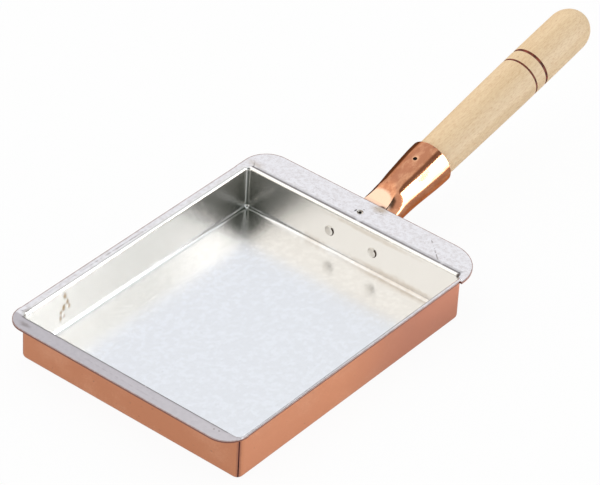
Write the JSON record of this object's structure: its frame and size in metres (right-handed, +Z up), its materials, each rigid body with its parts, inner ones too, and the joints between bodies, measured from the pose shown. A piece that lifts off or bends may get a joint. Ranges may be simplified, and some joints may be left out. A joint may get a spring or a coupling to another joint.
{
  "type": "rectangular omelette pan",
  "caption": "Rectangular tamagoyaki pan: a tinned copper tray with end flanges, a riveted copper ferrule and a turned wood handle.",
  "frame": {"origin": "centre of the tray's flat underside", "axes": "+Y from the tray towards the handle, +Z up out of the open top, +X to the right seen from the front flange"},
  "size_m": [0.1838, 0.4697, 0.0822],
  "materials": {
    "tray_copper": "satin copper sheet",
    "tin": "hand-wiped tin, satin",
    "braze": "dark brazed seam",
    "ferrule_copper": "polished copper sheet",
    "rivet_copper": "copper, tinned on the inside head",
    "tab_rivet_copper": "tinned copper",
    "nail_steel": "darkened steel",
    "wood": "bare pale softwood with burnt grooves"
  },
  "bodies": {
    "root": {"pan_body": "tray_copper", "tin_lining": "tin", "corner_braze": "braze", "ferrule": "ferrule_copper", "wall_rivets": "rivet_copper", "tab_rivet": "tab_rivet_copper", "handle_nail": "nail_steel", "wood_handle": "wood"}
  },
  "joints": []
}
